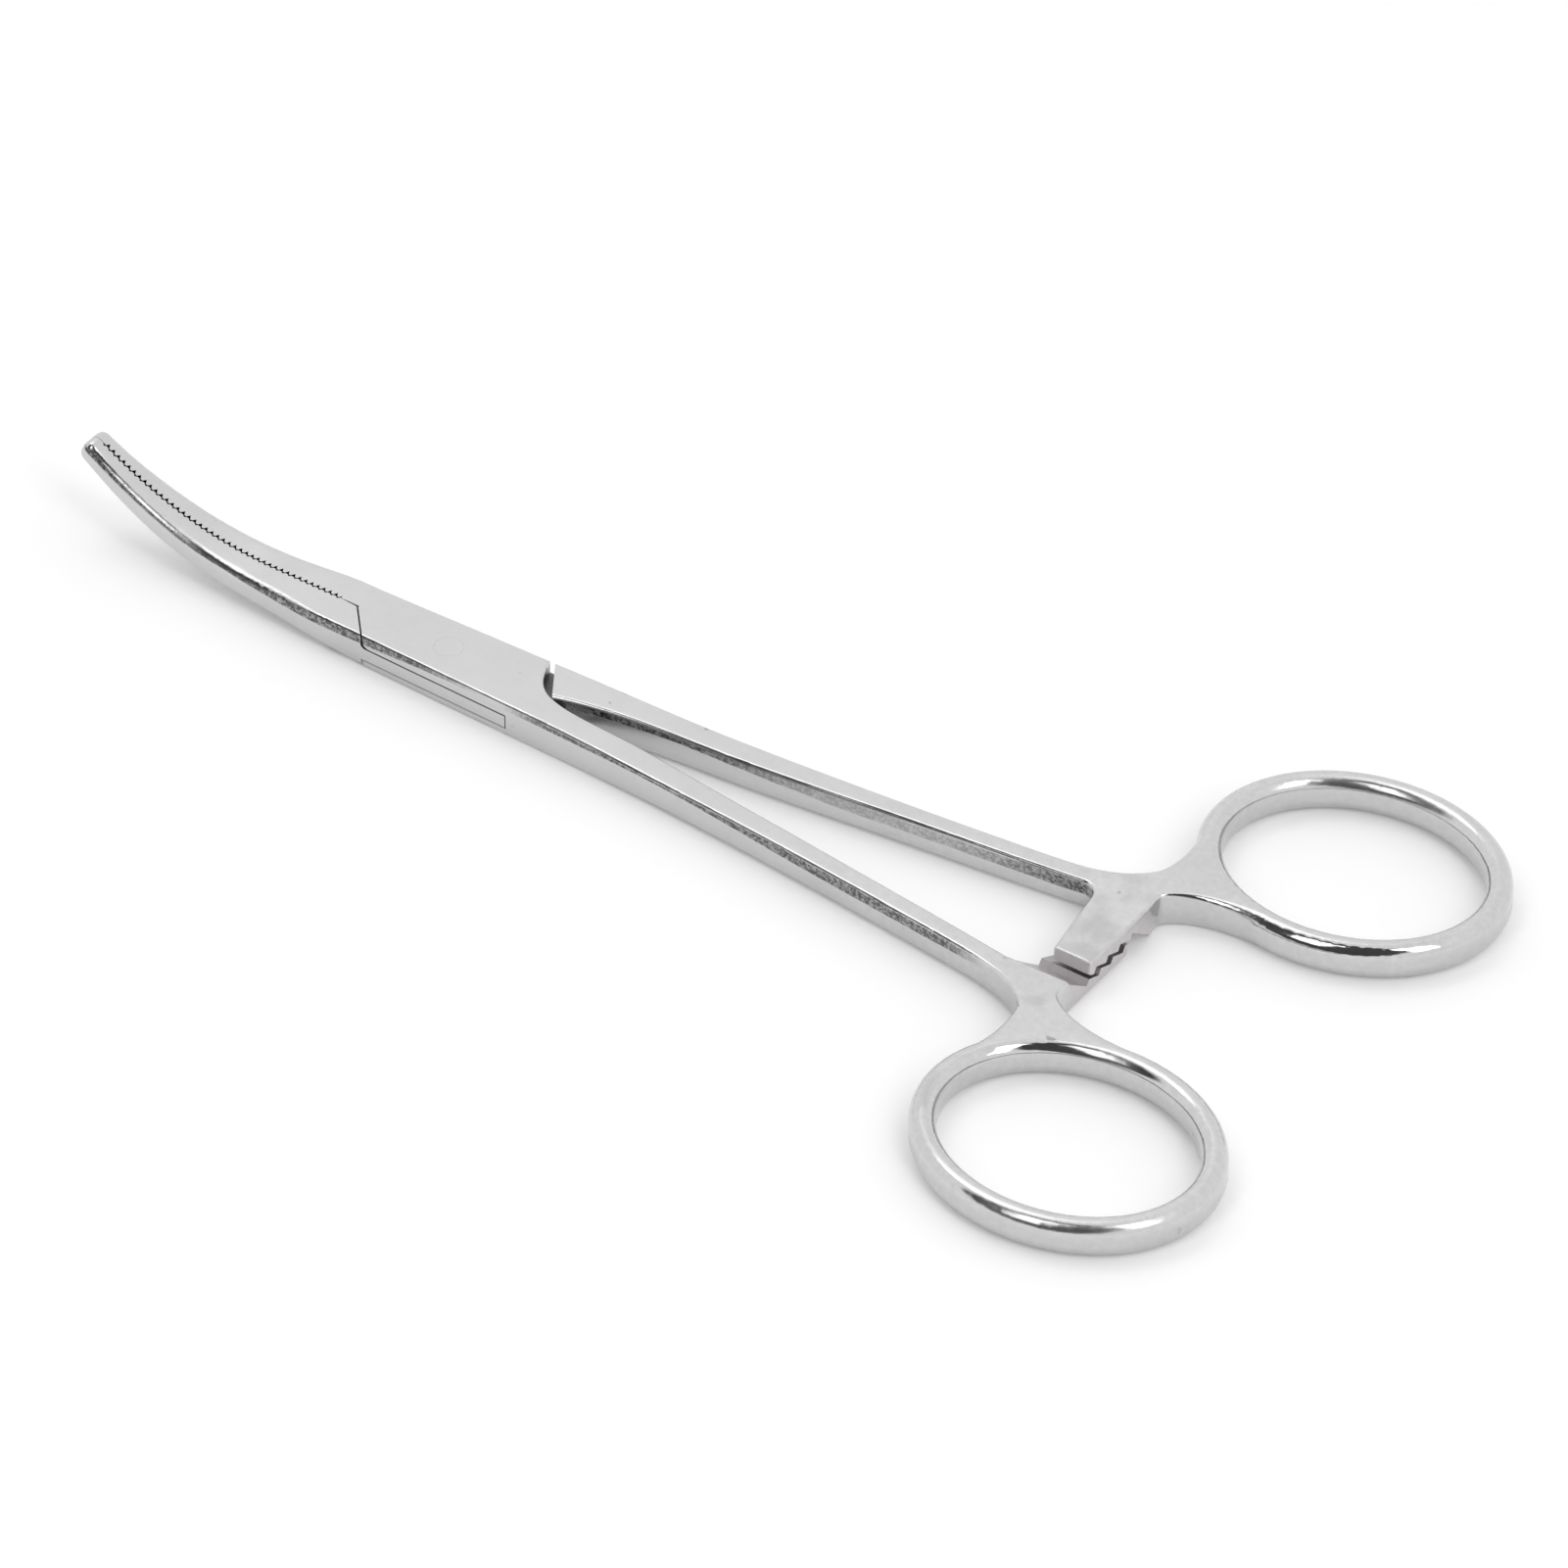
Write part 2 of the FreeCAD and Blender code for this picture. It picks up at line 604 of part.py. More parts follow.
def insert_half():
    """Near jaw, tongue, far shank and far ring, forged in one."""
    shank = fork([BACK_SEAM[0], (fork_start_x, fork_start_inner)])
    plan = outline([
        shank[-1][:2], (shank_end_x, WIDE), along(*BACK_SEAM, WIDE), BACK_SEAM[0],
    ])
    plan.append(curve(shank, (1, fork_root_slope, 0), (1, shank_end_slope, 0)))
    jaw_root = outline([
        (JAW_CUT, -jaw_gap / 2), along(*FRONT_SEAM, -jaw_root_relief),
        along(*FRONT_SEAM, -WIDE), (JAW_CUT, -WIDE), (JAW_CUT, -jaw_gap / 2),
    ])
    solid = cut_out(plan).fuse([
        cut_out(jaw_root), tongue(), mirrored(jaw(near_groove_depth, 0.5)), handle(),
    ]).removeSplitter()
    return solid.cut(Part.makeCylinder(pin_diameter / 2 + pin_running_gap, box_thickness))


def lock_pin():
    """The rivet through both plates and the tongue, flush at both ends."""
    return Part.makeCylinder(pin_diameter / 2, box_thickness)


parts = {"box_half": box_half(), "insert_half": insert_half(), "lock_pin": lock_pin()}
os.makedirs("parts", exist_ok=True)
for name, shape in parts.items():
    solids = shape.Solids
    if len(solids) != 1 or not shape.isValid():
        raise ValueError("%s is not one valid solid" % name)
    solids[0].exportStep("parts/" + name + ".step")
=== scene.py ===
import math

import bpy
from bpy.props import FloatProperty, FloatVectorProperty, PointerProperty
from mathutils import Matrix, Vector


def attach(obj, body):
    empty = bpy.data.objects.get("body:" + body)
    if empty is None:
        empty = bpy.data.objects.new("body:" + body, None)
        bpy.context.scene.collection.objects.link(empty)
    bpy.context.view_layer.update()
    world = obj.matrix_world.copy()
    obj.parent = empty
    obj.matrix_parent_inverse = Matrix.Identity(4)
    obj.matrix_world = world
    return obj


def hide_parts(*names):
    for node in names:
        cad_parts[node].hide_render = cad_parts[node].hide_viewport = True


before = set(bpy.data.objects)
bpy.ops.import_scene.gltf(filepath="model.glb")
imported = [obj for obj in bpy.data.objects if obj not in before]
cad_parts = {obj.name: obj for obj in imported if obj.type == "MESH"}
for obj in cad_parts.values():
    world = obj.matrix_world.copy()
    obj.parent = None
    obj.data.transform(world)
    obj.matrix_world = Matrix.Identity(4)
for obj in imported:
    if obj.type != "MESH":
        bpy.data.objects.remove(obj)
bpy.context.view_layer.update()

MM = 0.001

# The camera's lens, from its focal length in pixels of a picture this wide
FOCAL_PIXELS = 12000
PICTURE_PIXELS = 1601
SENSOR_WIDTH = 36

bl_info = {
    "name": "Curved Artery Forceps",
    "version": (1, 0, 0),
    "blender": (4, 5, 0),
    "location": "3D View > Sidebar > Forceps",
    "description": "Satin steel finish for box lock forceps, with a white studio",
    "category": "Object",
}


class ForcepsSteel(bpy.types.PropertyGroup):
    """Colours and grain of the steel."""

    satin_colour: FloatVectorProperty(
        name="Satin Colour", description="Colour of the satin steel",
        default=(0.65, 0.645, 0.65), size=3, subtype="COLOR", min=0, max=1)
    satin_roughness: FloatProperty(
        name="Satin Roughness", description="How matt the brushed faces are",
        default=0.34, min=0, max=1, subtype="FACTOR")
    polished_roughness: FloatProperty(
        name="Polished Roughness", description="How matt the rounds and rings are",
        default=0.09, min=0, max=1, subtype="FACTOR")
    middle: FloatProperty(
        name="Middle", description="Height of the middle of the steel",
        default=1.8 * MM, min=0, max=20 * MM, subtype="DISTANCE", unit="LENGTH")
    mottle_size: FloatProperty(
        name="Mottle Size", description="Size of the fine mottled marks",
        default=0.7 * MM, min=0.1 * MM, max=10 * MM, subtype="DISTANCE", unit="LENGTH")
    cloud_size: FloatProperty(
        name="Cloud Size", description="Size of the soft cloudy marks",
        default=6 * MM, min=1 * MM, max=50 * MM, subtype="DISTANCE", unit="LENGTH")
    grit_size: FloatProperty(
        name="Grit Size", description="Grain of the ground strip inside the shanks",
        default=0.36 * MM, min=0.05 * MM, max=2 * MM, subtype="DISTANCE", unit="LENGTH")
    speck_spacing: FloatProperty(
        name="Speck Spacing", description="Spacing of the small dark pits",
        default=1.6 * MM, min=0.1 * MM, max=10 * MM, subtype="DISTANCE", unit="LENGTH")
    grain_length: FloatProperty(
        name="Grain Length", description="Length of the fine brush marks",
        default=2.2 * MM, min=0.1 * MM, max=20 * MM, subtype="DISTANCE", unit="LENGTH")
    grain_width: FloatProperty(
        name="Grain Width", description="Width of the fine brush marks",
        default=0.07 * MM, min=0.01 * MM, max=1 * MM, subtype="DISTANCE", unit="LENGTH")
    mark_depth: FloatProperty(
        name="Mark Depth", description="Depth of the brush marks, the grit and the pits",
        default=0.01 * MM, min=0, max=1 * MM, subtype="DISTANCE", unit="LENGTH")
    smooth_angle: FloatProperty(
        name="Smooth Angle", description="Edges sharper than this stay crisp",
        default=math.radians(28), min=0, max=math.pi, subtype="ANGLE", unit="ROTATION")
    weld_distance: FloatProperty(
        name="Weld Distance", description="Corners nearer than this become one",
        default=0.002 * MM, min=0, max=1 * MM, subtype="DISTANCE", unit="LENGTH")


class ForcepsStudio(bpy.types.PropertyGroup):
    """Camera, lamps and floor."""

    azimuth: FloatProperty(
        name="Azimuth", description="Camera's angle round the forceps",
        default=math.radians(35.428), subtype="ANGLE", unit="ROTATION")
    elevation: FloatProperty(
        name="Elevation", description="Camera's angle above the table",
        default=math.radians(39.2), subtype="ANGLE", unit="ROTATION")
    distance: FloatProperty(
        name="Distance", description="From the aim point to the camera",
        default=1063.2 * MM, min=0.1, subtype="DISTANCE", unit="LENGTH")
    aim: FloatVectorProperty(
        name="Aim", description="Point in the middle of the picture",
        default=(35.26 * MM, 3.365 * MM, 1.8 * MM), size=3, subtype="XYZ", unit="LENGTH")
    lens: FloatProperty(
        name="Lens", description="Focal length on a 36 mm sensor",
        default=FOCAL_PIXELS / PICTURE_PIXELS * SENSOR_WIDTH, min=10, max=1000)
    room_light: FloatProperty(
        name="Room Light", description="Brightness of the white walls and ceiling",
        default=1.0, min=0, max=3)
    shade_light: FloatProperty(
        name="Shade Light", description="Brightness of the dark side, between the lamps",
        default=0.07, min=0, max=3)
    shade_side: FloatVectorProperty(
        name="Shade Side", description="Direction of the dark side of the room",
        default=(0.0, -0.72, 0.69), size=3, subtype="XYZ")
    shade_width: FloatProperty(
        name="Shade Width", description="Half the angle that the dark side fills",
        default=math.radians(40), min=0, max=math.pi, subtype="ANGLE", unit="ROTATION")
    floor_size: FloatProperty(
        name="Floor Size", description="Side of the square floor",
        default=3.0, min=0.5, subtype="DISTANCE", unit="LENGTH")
    floor_colour: FloatVectorProperty(
        name="Floor Colour", description="Colour of the table top",
        default=(0.9, 0.9, 0.9), size=3, subtype="COLOR", min=0, max=1)
    floor_glow: FloatProperty(
        name="Floor Glow", description="Lifts the table to white where the camera or the steel sees it",
        default=0.12, min=0, max=1)
    floor_drop: FloatProperty(
        name="Floor Drop", description="Gap under the steel, so that no two faces lie in one plane",
        default=0.02 * MM, min=0, max=1 * MM, subtype="DISTANCE", unit="LENGTH")


class Num:
    """A number socket that adds Math nodes when it is used in a sum."""

    def __init__(self, shader, socket):
        self.shader = shader
        self.socket = socket

    def _math(self, operation, a, b=None):
        values = {0: a} if b is None else {0: a, 1: b}
        node = self.shader.add("ShaderNodeMath", {"operation": operation}, values)
        return Num(self.shader, node.outputs[0])

    def __add__(self, other):
        return self._math("ADD", self, other)

    def __radd__(self, other):
        return self._math("ADD", other, self)

    def __sub__(self, other):
        return self._math("SUBTRACT", self, other)

    def __rsub__(self, other):
        return self._math("SUBTRACT", other, self)

    def __mul__(self, other):
        return self._math("MULTIPLY", self, other)

    def __rmul__(self, other):
        return self._math("MULTIPLY", other, self)

    def at_least(self, other):
        return self._math("MAXIMUM", self, other)

    def size(self):
        return self._math("ABSOLUTE", self)

    def sign(self):
        return self._math("SIGN", self)

    def window(self, low, high, soft):
        """1 from low to high and 0 outside, fading over the soft length at each end."""
        return self.ramp(low - soft, low) * (1 - self.ramp(high, high + soft))

    def ramp(self, low, high):
        """0 below low, 1 above high, smooth between them."""
        node = self.shader.add(
            "ShaderNodeMapRange", {"interpolation_type": "SMOOTHSTEP"},
            {"Value": self, "From Min": low, "From Max": high})
        return Num(self.shader, node.outputs["Result"])


class Shader:
    """The node tree of a material or of the world."""

    def __init__(self, owner):
        owner.use_nodes = True
        self.owner = owner
        self.tree = owner.node_tree
        self.tree.nodes.clear()

    def add(self, kind, settings=None, inputs=None):
        node = self.tree.nodes.new(kind)
        for key, value in (settings or {}).items():
            setattr(node, key, value)
        for key, value in (inputs or {}).items():
            if isinstance(value, Num):
                value = value.socket
            if isinstance(value, bpy.types.NodeSocket):
                self.tree.links.new(value, node.inputs[key])
            else:
                node.inputs[key].default_value = value
        return node

    def noise(self, vector, scale, detail, roughness=0.5):
        node = self.add(
            "ShaderNodeTexNoise", {"noise_dimensions": "3D"},
            {"Vector": vector, "Scale": scale, "Detail": detail, "Roughness": roughness})
        return Num(self, node.outputs["Fac"])

    def axes(self, vector):
        node = self.add("ShaderNodeSeparateXYZ", None, {"Vector": vector})
        return [Num(self, node.outputs[axis]) for axis in "XYZ"]


class Steel(Shader):
    """The steel's tree: where a point lies, which way it faces, and the patterns that all marks share."""

    def __init__(self, name, settings):
        super().__init__(bpy.data.materials.new(name))
        self.settings = settings
        self.place = self.add("ShaderNodeTexCoord").outputs["Object"]
        self.x, self.y, self.z = self.axes(self.place)
        facing = self.axes(self.add("ShaderNodeNewGeometry").outputs["True Normal"])
        self.across = facing[1]
        self.upright = facing[2].size()
        # One handle is the other turned over, so height counts upward on sides that face -Y
        self.turned_height = (self.z - settings.middle) * (-1 * self.across.sign())
        self.flat = self.upright.ramp(0.9, 0.985)
        along, over = 1 / settings.grain_length, 1 / settings.grain_width
        stretched = self.add(
            "ShaderNodeMapping", None, {"Vector": self.place, "Scale": (along, over, over)})
        self.grain = self.noise(stretched.outputs[0], 1.0, detail=2.0)
        self.cloud = self.noise(self.place, 1 / settings.cloud_size, detail=4.0)
        self.grit = self.noise(self.place, 1 / settings.grit_size, detail=3.0, roughness=0.75)
        self.mottle = self.noise(self.place, 1 / settings.mottle_size, detail=5.0, roughness=0.7)
        # How widely the edges of the ground strips and the painted dark reflection bands wander
        wander = 0.5 * MM
        self.wave = (self.cloud - 0.5) * wander

    def below(self, value, low, high):
        """1 under low, 0 over high."""
        return 1 - value.ramp(low, high)


def between_shanks(steel):
    """1 on the inner side of the shanks' middle line, which leans outward toward the rings."""
    line_x, line_y, lean, fade = 30 * MM, 3.45 * MM, 0.1, 0.1 * MM
    centre = line_y + (steel.x - line_x) * lean
    return steel.below(steel.y.size() - centre, -fade, fade)


def ground_strip(steel, inside):
    """The coarse ground strip on each shank's inner side, high on the far shank and low on the near one."""
    start, end, fade = 16 * MM, 66 * MM, 2.5 * MM
    foot_at_lock, foot_fall, fall_start, fall_end = 0.8 * MM, 0.75 * MM, 24 * MM, 45 * MM
    strength, worn_share, worn_start, worn_end, worn_fade = 0.85, 0.45, 42 * MM, 50 * MM, 18 * MM
    foot = foot_at_lock - steel.x.ramp(fall_start, fall_end) * foot_fall
    upstanding = steel.below(steel.upright, 0.05, 0.3)
    strip = upstanding * inside * steel.x.window(start, end, fade)
    strip = strip * (steel.turned_height + steel.wave - foot).ramp(-0.12 * MM, 0.05 * MM)
    return strip * (strength - steel.x.window(worn_start, worn_end, worn_fade) * worn_share)


def shank_painted_reflection(steel, inside):
    """A painted dark reflection on each shank's outer side, below the rounded top edge, high on the near
    shank and low on the far one.
    """
    start, end, fade = 14 * MM, 60 * MM, 6 * MM
    wide_start, wide_end, wide_fade, swell = 48 * MM, 56 * MM, 24 * MM, 0.8 * MM
    strength, wave_share = 0.8, 0.3
    widening = steel.x.window(wide_start, wide_end, wide_fade) * swell
    height = steel.turned_height + widening + steel.wave * wave_share
    band = steel.below(steel.upright, 0.3, 0.6) * (1 - inside) * steel.x.window(start, end, fade)
    return band * height.ramp(1.05 * MM, 1.2 * MM) * strength


def jaw_painted_reflection(steel):
    """A painted dark reflection high on the near side of the jaws and the box, below the rounded top edge,
    rising with the jaws' curve.
    """
    height_at_box, curve_start, curve_rise = 3.2 * MM, -20 * MM, 13.5
    low_start, low_end, low_fade, lower = -12 * MM, -10 * MM, 14 * MM, 0.6 * MM
    fade_start, fade_end, strength, wave_share = -2 * MM, 8 * MM, 0.8, 0.3
    # The jaws rise with the square of the way past the curve's start, and the rise is per metre
    past = (curve_start - steel.x).at_least(0)
    height = steel.z - past * past * curve_rise - height_at_box
    height = height + steel.x.window(low_start, low_end, low_fade) * lower + steel.wave * wave_share
    near_side = steel.below(steel.across, -0.6, -0.2)
    band = height.ramp(-0.1 * MM, 0.05 * MM) * steel.below(steel.upright, 0.5, 0.8)
    return band * steel.below(steel.x, fade_start, fade_end) * near_side * strength


def lock_inside(steel):
    """The faces of the slot, the tongue and the shoulders, seen in the seams or in the open lock, where the
    steel gets painted shade.
    """
    front, back, fade = -11.6 * MM, 13 * MM, 0.3 * MM
    half_width, widening = 3.56 * MM, 0.025
    slot_low, slot_high, skin_low, skin_high = 0.3 * MM, 3.2 * MM, 0.1 * MM, 3.5 * MM
    edge = 0.05 * MM
    depth = (half_width + steel.x * widening - steel.y.size()).ramp(0, edge)
    walls = steel.below(steel.upright, 0.1, 0.2) * steel.z.window(skin_low, skin_high, edge)
    hidden = steel.z.window(slot_low, slot_high, edge).at_least(walls)
    return steel.x.window(front, back, fade) * depth * hidden


def groove_valleys(steel):
    """The sloping sides of the jaws' grooves, where the steel gets painted shade."""
    reach, reach_fade, root, root_fade = 0.43 * MM, 0.03 * MM, -11.9 * MM, 0.2 * MM
    sloping = steel.below(steel.upright, 0.4, 0.6) * steel.below(steel.across.size(), 0.85, 0.95)
    near_grip = steel.below(steel.y.size(), reach, reach + reach_fade)
    return near_grip * sloping * steel.below(steel.x, root, root + root_fade)


def ratchet_faces(steel):
    """The teeth and the sides of the two ratchet bars."""
    front, back, fade = 68 * MM, 75 * MM, 1 * MM
    root, root_fade = 6 * MM, 1 * MM
    past_root = steel.below(steel.y.size(), root, root + root_fade)
    return steel.x.window(front, back, fade) * past_root * (1 - steel.flat)


def neck_smudge(steel):
    """Soft stains on the flat of the necks."""
    front, back, fade = 66 * MM, 76 * MM, 3 * MM
    return steel.x.window(front, back, fade) * steel.cloud.ramp(0.52, 0.66) * steel.flat


def steel_tone(steel, ground, pits, shaded):
    """Brightness of the steel before its colour, with every mark that darkens it, painted shade and painted
    dark reflections among them.
    """
    # The patterns average 0.5, so they are counted from there
    clean, cloudy, brushed, mottled = 0.94, 0.1, 0.05, 0.28
    stained, stain_spots, ground_and_reflection_dark, ground_grit, pitted = 0.08, 0.16, 0.42, 0.55, 0.35
    wear_at_lock, wear_start, wear_full = 0.25, 20 * MM, 66 * MM
    wear = wear_at_lock + steel.x.ramp(wear_start, wear_full) * (1 - wear_at_lock)
    tone = clean + (steel.cloud - 0.5) * cloudy + (steel.grain - 0.5) * brushed * steel.flat
    tone = tone + (steel.mottle - 0.5) * mottled * wear
    tone = tone - neck_smudge(steel) * (stained + steel.mottle * stain_spots)
    # The ground strips and the painted dark reflections along the near top edges
    tone = tone - ground * (ground_and_reflection_dark + steel.grit.ramp(0.38, 0.58) * ground_grit) - pits * pitted
    # Painted shade in the lock and the groove valleys
    return tone * (1 - shaded)


def steel_colour(steel, tone, bars):
    """The satin colour at its tone, a touch warmer on the ratchet bars."""
    warmth = 0.03
    cool = tone * (1 - bars * warmth)
    grey = steel.add("ShaderNodeCombineColor", None, {"Red": tone, "Green": cool, "Blue": cool})
    return steel.add(
        "ShaderNodeMix", {"data_type": "RGBA", "blend_type": "MULTIPLY"},
        {0: 1.0, 6: (*steel.settings.satin_colour, 1.0), 7: grey.outputs[0]}).outputs[2]


def steel_roughness(steel, ground, unpolished):
    """Satin on the flats, polished on the rounds and rings, matt where the steel was only ground."""
    dulling, cloudy, mottled, brushed, ground_matt, unpolished_matt = 0.14, 0.08, 0.12, 0.08, 0.3, 0.3
    settings = steel.settings
    patch_size = 2 * settings.cloud_size
    dull = steel.noise(steel.place, 1 / patch_size, detail=2.0).ramp(0.42, 0.62)
    polish = settings.polished_roughness + dull * dulling
    rough = polish + steel.flat * (settings.satin_roughness - polish)
    rough = rough + (steel.cloud - 0.5) * cloudy + (steel.mottle - 0.5) * mottled
    rough = rough + (steel.grain - 0.5) * brushed * steel.flat
    return rough + ground * ground_matt + unpolished * unpolished_matt


def steel_relief(steel, ground, pits):
    """The fine relief of brush marks, grit and pits."""
    brush_share, grit_share, strength = 0.35, 3, 0.3
    height = steel.grain * brush_share * steel.flat + steel.grit * ground * grit_share - pits
    return steel.add("ShaderNodeBump", None, {
        "Strength": strength, "Distance": steel.settings.mark_depth, "Height": height}).outputs[0]


def steel_material(name, settings):
    """Satin flats, polished rounds and rings, ground steel on the shanks and in the lock, painted dark
    reflections along the near top edges, and painted shade in the lock and the grooves.
    """
    # How far painted shade darkens the lock's hidden faces and the groove valleys
    lock_painted_shade, groove_painted_shade = 0.6, 0.9
    steel = Steel(name, settings)
    inside = between_shanks(steel)
    # The ground strips are real ground steel; the shank and jaw bands are painted dark reflections of the
    # rounded top edges, grained like the strips
    ground = ground_strip(steel, inside).at_least(shank_painted_reflection(steel, inside)).at_least(jaw_painted_reflection(steel))
    lock = lock_inside(steel)
    # Painted shade in the lock's hidden faces and the jaws' groove valleys
    shaded = (lock * lock_painted_shade).at_least(groove_valleys(steel) * groove_painted_shade)
    bars = ratchet_faces(steel)
    pits = steel.noise(steel.place, 1 / settings.speck_spacing, detail=1.0, roughness=0.4).ramp(0.74, 0.8)
    surface = steel.add("ShaderNodeBsdfPrincipled", None, {
        "Base Color": steel_colour(steel, steel_tone(steel, ground, pits, shaded), bars),
        "Metallic": 1.0,
        "Roughness": steel_roughness(steel, ground, bars + lock),
        "Normal": steel_relief(steel, ground, pits)})
    steel.add("ShaderNodeOutputMaterial", None, {"Surface": surface.outputs[0]})
    return steel.owner


def finishing_tree(name, material):
    """Welds a cut shape's faces together and smooths its rounds, leaving crisp edges crisp."""
    tree = bpy.data.node_groups.new(name, "GeometryNodeTree")
    tree.interface.new_socket("Geometry", in_out="INPUT", socket_type="NodeSocketGeometry")
    weld = tree.interface.new_socket("Weld Distance", in_out="INPUT", socket_type="NodeSocketFloat")
    angle = tree.interface.new_socket("Smooth Angle", in_out="INPUT", socket_type="NodeSocketFloat")
    tree.interface.new_socket("Geometry", in_out="OUTPUT", socket_type="NodeSocketGeometry")
    nodes, links = tree.nodes, tree.links
    start = nodes.new("NodeGroupInput")
    merge = nodes.new("GeometryNodeMergeByDistance")
    links.new(start.outputs[0], merge.inputs["Geometry"])
    links.new(start.outputs[1], merge.inputs["Distance"])
    bend = nodes.new("GeometryNodeInputMeshEdgeAngle")
    soft = nodes.new("FunctionNodeCompare")
    soft.operation = "LESS_THAN"
    links.new(bend.outputs["Unsigned Angle"], soft.inputs[0])
    links.new(start.outputs[2], soft.inputs[1])
    faces = nodes.new("GeometryNodeSetShadeSmooth")
    faces.domain = "FACE"
    links.new(merge.outputs[0], faces.inputs["Geometry"])
    edges = nodes.new("GeometryNodeSetShadeSmooth")
    edges.domain = "EDGE"
    links.new(faces.outputs[0], edges.inputs["Geometry"])
    links.new(soft.outputs[0], edges.inputs["Shade Smooth"])
    real = nodes.new("GeometryNodeRealizeInstances")
    links.new(edges.outputs[0], real.inputs[0])
    paint = nodes.new("GeometryNodeSetMaterial")
    paint.inputs["Material"].default_value = material
    links.new(real.outputs[0], paint.inputs["Geometry"])
    end = nodes.new("NodeGroupOutput")
    links.new(paint.outputs[0], end.inputs[0])
    return tree, weld.identifier, angle.identifier


def trim_bar_root(mesh, middle):
    """Takes down the spur that the round beside a ratchet bar leaves ahead of the bar's thinned slope."""
    slope_start, slope, half_shank = 6.45 * MM, 0.76, 1.525 * MM
    round_start, round_end, round_width = 66.4 * MM, 67.6 * MM, 1.2 * MM
    for vertex in mesh.vertices:
        place = vertex.co
        beside = slope_start - abs(place.y)
        if round_start < place.x < round_end and 0 < beside < round_width:
            side = -1 if place.y > 0 else 1
            limit = half_shank - beside * slope
            if (place.z - middle) * side > limit:
                place.z = middle + side * limit


def finished_copy(node, name, material, settings):
    """A plain mesh with the node's shape, welded and smoothed."""
    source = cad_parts[node]
    raw = bpy.data.objects.new(name + "_raw", source.data.copy())
    trim_bar_root(raw.data, settings.middle)
    bpy.context.scene.collection.objects.link(raw)
    tree, weld, angle = finishing_tree(name + "_finish", material)
    modifier = raw.modifiers.new("finish", "NODES")
    modifier.node_group = tree
    modifier[weld] = settings.weld_distance
    modifier[angle] = settings.smooth_angle
    graph = bpy.context.evaluated_depsgraph_get()
    mesh = bpy.data.meshes.new_from_object(raw.evaluated_get(graph))
    mesh.name = name
    bpy.data.objects.remove(raw)
    piece = bpy.data.objects.new(name, mesh)
    bpy.context.scene.collection.objects.link(piece)
    weights = piece.modifiers.new("even_normals", "WEIGHTED_NORMAL")
    weights.keep_sharp = True
    weights.mode = "FACE_AREA"
    return piece


class FORCEPS_OT_halves(bpy.types.Operator):
    """Dress both halves of the forceps in satin steel"""

    bl_idname = "forceps.halves"
    bl_label = "Steel Halves"

    def execute(self, context):
        settings = context.scene.forceps_steel
        steel = steel_material("satin_steel", settings)
        for node, body in (("box_half", "box_side"), ("insert_half", "insert_side")):
            piece = finished_copy(node, node + "_steel", steel, settings)
            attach(piece, body)
            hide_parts(node)
        return {"FINISHED"}


class FORCEPS_OT_pin(bpy.types.Operator):
    """Give the lock pin the same steel"""

    bl_idname = "forceps.pin"
    bl_label = "Lock Pin"

    def execute(self, context):
        settings = context.scene.forceps_steel
        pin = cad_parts["lock_pin"]
        pin.data.materials.clear()
        pin.data.materials.append(steel_material("pin_steel", settings))
        return {"FINISHED"}


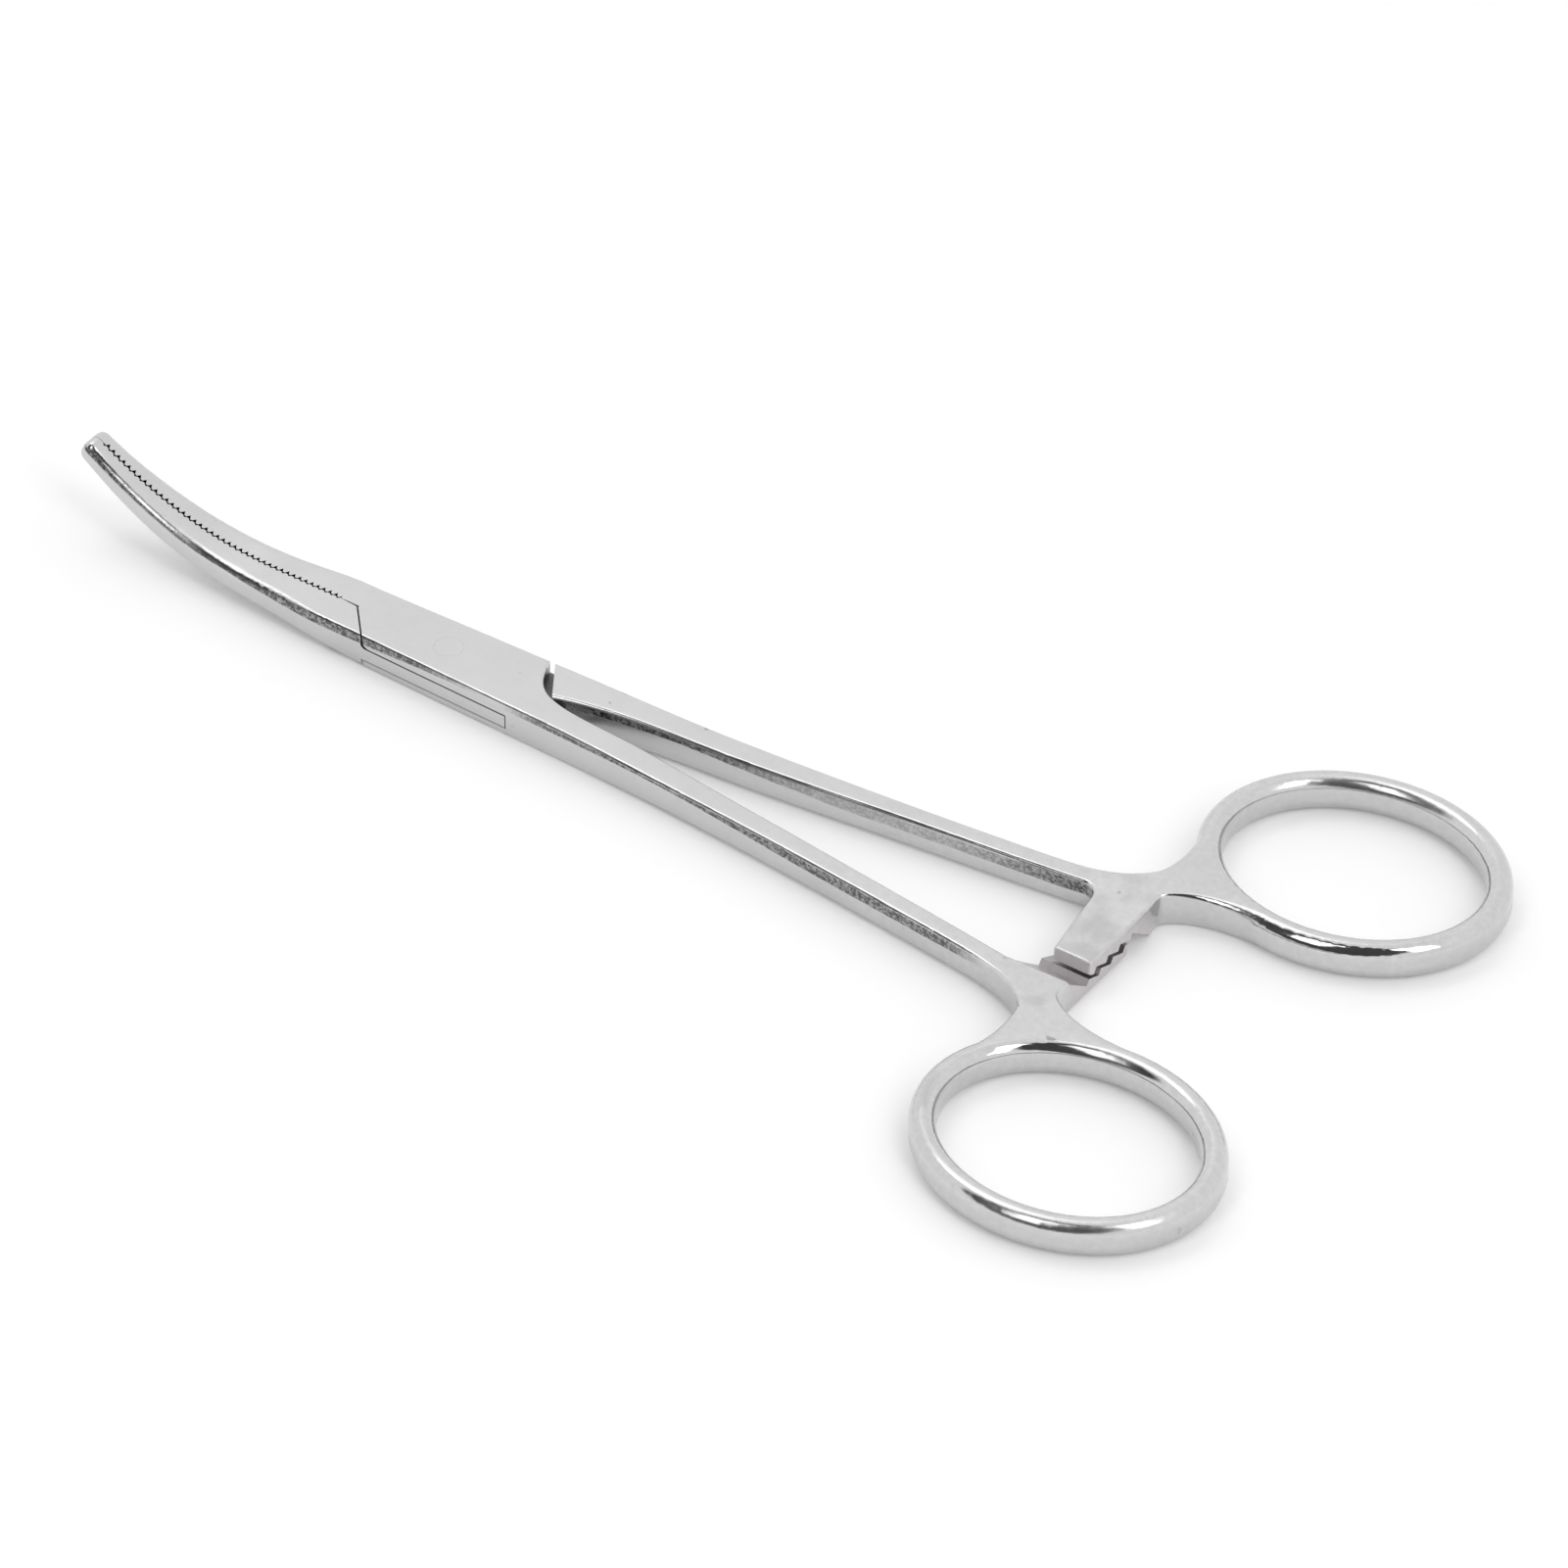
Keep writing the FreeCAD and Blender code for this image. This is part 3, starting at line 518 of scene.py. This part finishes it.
class FORCEPS_OT_studio(bpy.types.Operator):
    """Set up the white floor, the soft lamps and the camera"""

    bl_idname = "forceps.studio"
    bl_label = "Studio"

    def execute(self, context):
        settings = context.scene.forceps_studio
        self.camera(context, settings)
        self.floor(context, settings)
        self.room(context, settings)
        self.lamps(context, settings)
        context.scene.view_settings.view_transform = "Standard"
        return {"FINISHED"}

    def camera(self, context, settings):
        data = bpy.data.cameras.new("camera")
        data.sensor_width = SENSOR_WIDTH
        data.lens = settings.lens
        camera = bpy.data.objects.new("camera", data)
        turn, rise = settings.azimuth, settings.elevation
        back = Vector((
            math.sin(turn) * math.cos(rise), -math.cos(turn) * math.cos(rise), math.sin(rise)))
        camera.location = Vector(settings.aim) + back * settings.distance
        camera.rotation_mode = "QUATERNION"
        camera.rotation_quaternion = (-back).to_track_quat("-Z", "Y")
        context.scene.collection.objects.link(camera)
        context.scene.camera = camera

    def table_material(self, settings):
        """White where the camera or the steel sees it, and it keeps the forceps' soft shadow."""
        shader = Shader(bpy.data.materials.new("white_table"))
        path = shader.add("ShaderNodeLightPath")
        seen = Num(shader, path.outputs["Is Camera Ray"])
        for kind in ("Is Glossy Ray", "Is Transmission Ray"):
            seen = seen.at_least(Num(shader, path.outputs[kind]))
        plain = shader.add("ShaderNodeBsdfDiffuse", None, {"Color": (*settings.floor_colour, 1)})
        glow = shader.add(
            "ShaderNodeEmission", None, {"Color": (1, 1, 1, 1), "Strength": settings.floor_glow})
        lifted = shader.add("ShaderNodeAddShader", None, {0: plain.outputs[0], 1: glow.outputs[0]})
        mixed = shader.add(
            "ShaderNodeMixShader", None, {0: seen, 1: plain.outputs[0], 2: lifted.outputs[0]})
        shader.add("ShaderNodeOutputMaterial", None, {"Surface": mixed.outputs[0]})
        return shader.owner

    def floor(self, context, settings):
        half = settings.floor_size / 2
        mesh = bpy.data.meshes.new("table")
        corners = [(-half, -half, 0), (half, -half, 0), (half, half, 0), (-half, half, 0)]
        mesh.from_pydata(corners, [], [(0, 1, 2, 3)])
        mesh.materials.append(self.table_material(settings))
        floor = bpy.data.objects.new("table", mesh)
        floor.location.z = -settings.floor_drop
        context.scene.collection.objects.link(floor)

    def room(self, context, settings):
        """A white room with one dark side, which the polished rounds show as dark lines."""
        inner_share, outer_share = 0.9, 1.1
        world = bpy.data.worlds.new("studio")
        context.scene.world = world
        shader = Shader(world)
        direction = shader.add("ShaderNodeTexCoord").outputs["Generated"]
        centre = Vector(settings.shade_side).normalized()
        product = shader.add(
            "ShaderNodeVectorMath", {"operation": "DOT_PRODUCT"}, {0: direction, 1: centre})
        width = settings.shade_width
        shade = Num(shader, product.outputs["Value"]).ramp(
            math.cos(width * outer_share), math.cos(width * inner_share))
        strength = settings.room_light - shade * (settings.room_light - settings.shade_light)
        walls = shader.add(
            "ShaderNodeBackground", None, {"Color": (1, 1, 1, 1), "Strength": strength})
        shader.add("ShaderNodeOutputWorld", None, {"Surface": walls.outputs[0]})

    def lamps(self, context, settings):
        for name, spot, wide, high, power in (
            ("lamp_left", (-0.05, -0.61, 0.73), 0.28, 0.65, 1.3),
            ("lamp_right", (0.61, -0.17, 0.71), 0.28, 0.65, 1.3),
            ("lamp_over", (-0.42, 0.2, 0.9), 0.5, 0.3, 0.9),
        ):
            data = bpy.data.lights.new(name, "AREA")
            data.shape = "RECTANGLE"
            data.size = wide
            data.size_y = high
            data.energy = power
            lamp = bpy.data.objects.new(name, data)
            lamp.location = spot
            lamp.rotation_mode = "QUATERNION"
            lamp.rotation_quaternion = (Vector(settings.aim) - Vector(spot)).to_track_quat("-Z", "Y")
            context.scene.collection.objects.link(lamp)


class FORCEPS_PT_panel(bpy.types.Panel):
    """Lists the steps and settings"""

    bl_idname = "FORCEPS_PT_panel"
    bl_label = "Forceps"
    bl_space_type = "VIEW_3D"
    bl_region_type = "UI"
    bl_category = "Forceps"

    def draw(self, context):
        for group in (context.scene.forceps_steel, context.scene.forceps_studio):
            for key in group.__annotations__:
                self.layout.prop(group, key)
        for operator in OPERATORS:
            self.layout.operator(operator.bl_idname)


OPERATORS = (FORCEPS_OT_halves, FORCEPS_OT_pin, FORCEPS_OT_studio)
CLASSES = (ForcepsSteel, ForcepsStudio, *OPERATORS, FORCEPS_PT_panel)


def register():
    for cls in CLASSES:
        bpy.utils.register_class(cls)
    bpy.types.Scene.forceps_steel = PointerProperty(type=ForcepsSteel)
    bpy.types.Scene.forceps_studio = PointerProperty(type=ForcepsStudio)


def unregister():
    del bpy.types.Scene.forceps_studio
    del bpy.types.Scene.forceps_steel
    for cls in reversed(CLASSES):
        bpy.utils.unregister_class(cls)


def main():
    register()
    bpy.ops.forceps.halves()
    bpy.ops.forceps.pin()
    bpy.ops.forceps.studio()


if __name__ == "__main__":
    main()
